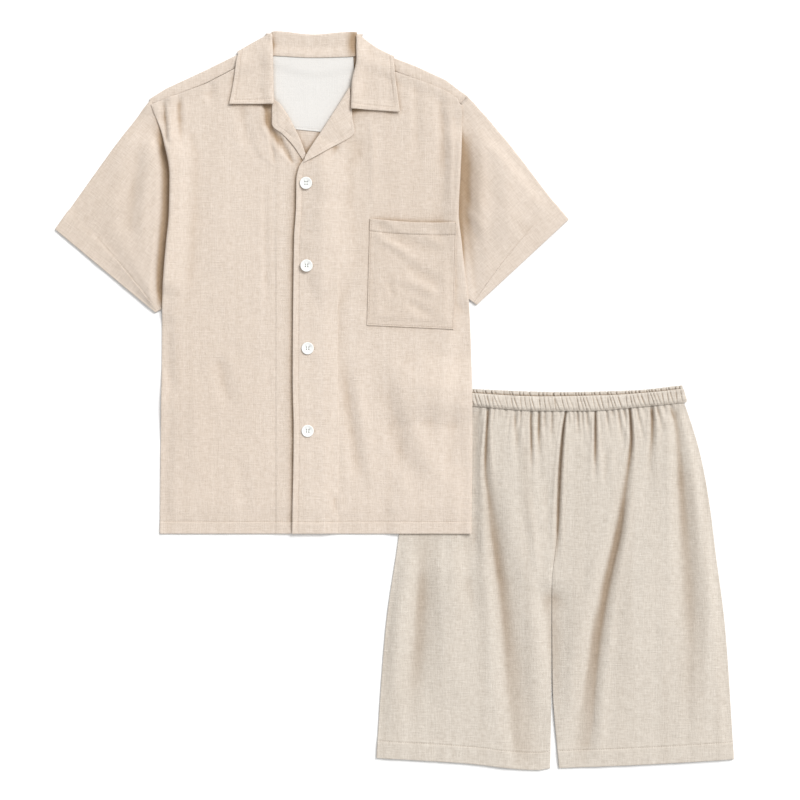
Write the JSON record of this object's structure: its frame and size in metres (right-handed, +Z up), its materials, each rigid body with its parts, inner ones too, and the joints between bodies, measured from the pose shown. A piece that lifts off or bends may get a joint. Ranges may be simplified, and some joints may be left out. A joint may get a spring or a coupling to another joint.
{
  "type": "open-collar shirt and shorts lounge set",
  "caption": "Short-sleeved open-collar button shirt laid flat over the corner of its elastic-waist shorts, in slubby beige cloth.",
  "frame": {"origin": "middle of the set's footprint, on the surface that it lies on", "axes": "+Z up from the surface; +Y from the shorts' hems towards the shirt's collar; +X towards the wearer's left"},
  "size_m": [1.0168, 1.1069, 0.0118],
  "materials": {
    "shirt_cloth": "matt slubby cotton and linen, warm beige",
    "shorts_cloth": "matt slubby cotton and linen, greyer beige",
    "patch_cloth": "matt plain white cotton",
    "button_resin": "satin off-white resin"
  },
  "bodies": {
    "root": {"shirt_back": "shirt_cloth", "front_right": "shirt_cloth", "front_left": "shirt_cloth", "facing_right": "shirt_cloth", "facing_left": "shirt_cloth", "collar": "shirt_cloth", "neck_patch": "patch_cloth", "sleeve_right": "shirt_cloth", "sleeve_left": "shirt_cloth", "chest_pocket": "shirt_cloth", "button_1": "button_resin", "button_2": "button_resin", "button_3": "button_resin", "button_4": "button_resin", "shorts_front_right": "shorts_cloth", "shorts_front_left": "shorts_cloth", "shorts_back_right": "shorts_cloth", "shorts_back_left": "shorts_cloth", "waistband": "shorts_cloth"}
  },
  "joints": []
}
